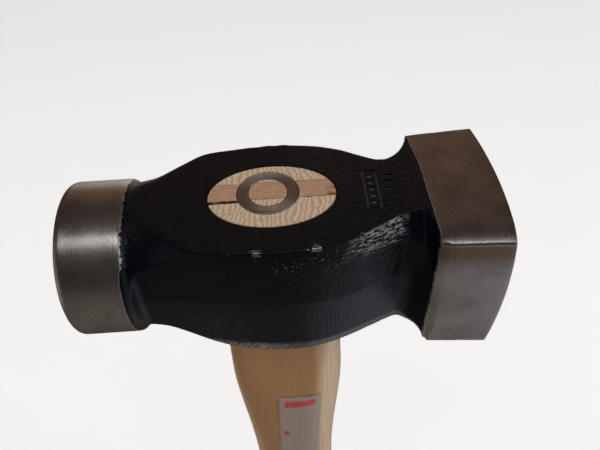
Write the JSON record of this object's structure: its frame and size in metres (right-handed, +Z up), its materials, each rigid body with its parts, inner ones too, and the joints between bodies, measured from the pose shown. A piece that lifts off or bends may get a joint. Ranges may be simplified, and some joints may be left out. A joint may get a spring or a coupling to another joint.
{
  "type": "forging hammer",
  "caption": "Forging hammer with a round face and a square crowned face, black lacquered waisted body with bright ends, and an oval ash handle wedged in the eye.",
  "frame": {"origin": "middle of the grip on the handle's axis", "axes": "+Z up the handle to the head, +X towards the square face, +Y across the head"},
  "size_m": [0.1119, 0.0421, 0.362],
  "materials": {
    "lacquered_steel": "black lacquer over the as-forged body, worn at its edges; the striking ends are bare ground steel",
    "ash_wood": "clear lacquered ash, long grain; sawn end grain in the eye",
    "hardwood": "raw brown hardwood end, trimmed flush",
    "bare_steel": "turned end with fine concentric scratches, slightly tarnished",
    "label_film": "thin glossy film with a plain red bar and grey lines"
  },
  "bodies": {
    "root": {"hammer_head": "lacquered_steel", "handle": "ash_wood", "wooden_wedge": "hardwood", "ring_wedge": "bare_steel", "handle_label": "label_film"}
  },
  "joints": []
}
